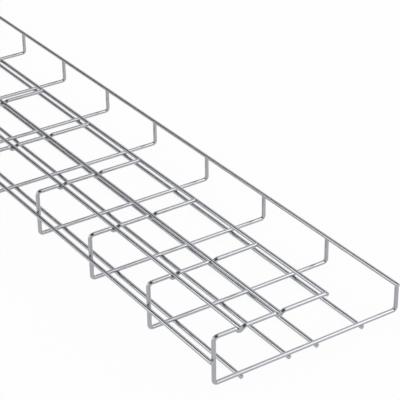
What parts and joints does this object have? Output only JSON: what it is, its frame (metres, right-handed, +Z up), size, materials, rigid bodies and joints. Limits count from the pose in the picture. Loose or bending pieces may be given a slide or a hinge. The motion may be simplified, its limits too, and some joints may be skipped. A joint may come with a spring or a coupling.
{
  "type": "wire mesh cable basket",
  "caption": "Straight length of welded steel wire cable basket with a low wall, a taller wall and a return over the top that leaves a long gap for laying cables in.",
  "frame": {"origin": "under the middle of the basket, at the level of the floor it lies on", "axes": "+X along the basket, +Y from the tall wall to the low wall, +Z up"},
  "size_m": [2.004, 0.204, 0.054],
  "materials": {
    "zinc_plated_wire": "bright zinc plated drawn wire"
  },
  "bodies": {
    "root": {"side_rail": "zinc_plated_wire", "wall_wire": "zinc_plated_wire", "return_edge_wire": "zinc_plated_wire", "base_wire_1": "zinc_plated_wire", "base_wire_2": "zinc_plated_wire", "base_wire_3": "zinc_plated_wire", "base_wire_4": "zinc_plated_wire", "return_wire_1": "zinc_plated_wire", "return_wire_2": "zinc_plated_wire", "cross_wire_01": "zinc_plated_wire", "cross_wire_02": "zinc_plated_wire", "cross_wire_03": "zinc_plated_wire", "cross_wire_04": "zinc_plated_wire", "cross_wire_05": "zinc_plated_wire", "cross_wire_06": "zinc_plated_wire", "cross_wire_07": "zinc_plated_wire", "cross_wire_08": "zinc_plated_wire", "cross_wire_09": "zinc_plated_wire", "cross_wire_10": "zinc_plated_wire", "cross_wire_11": "zinc_plated_wire", "cross_wire_12": "zinc_plated_wire", "cross_wire_13": "zinc_plated_wire", "cross_wire_14": "zinc_plated_wire", "cross_wire_15": "zinc_plated_wire", "cross_wire_16": "zinc_plated_wire", "cross_wire_17": "zinc_plated_wire", "cross_wire_18": "zinc_plated_wire", "cross_wire_19": "zinc_plated_wire", "cross_wire_20": "zinc_plated_wire", "cross_wire_21": "zinc_plated_wire"}
  },
  "joints": []
}
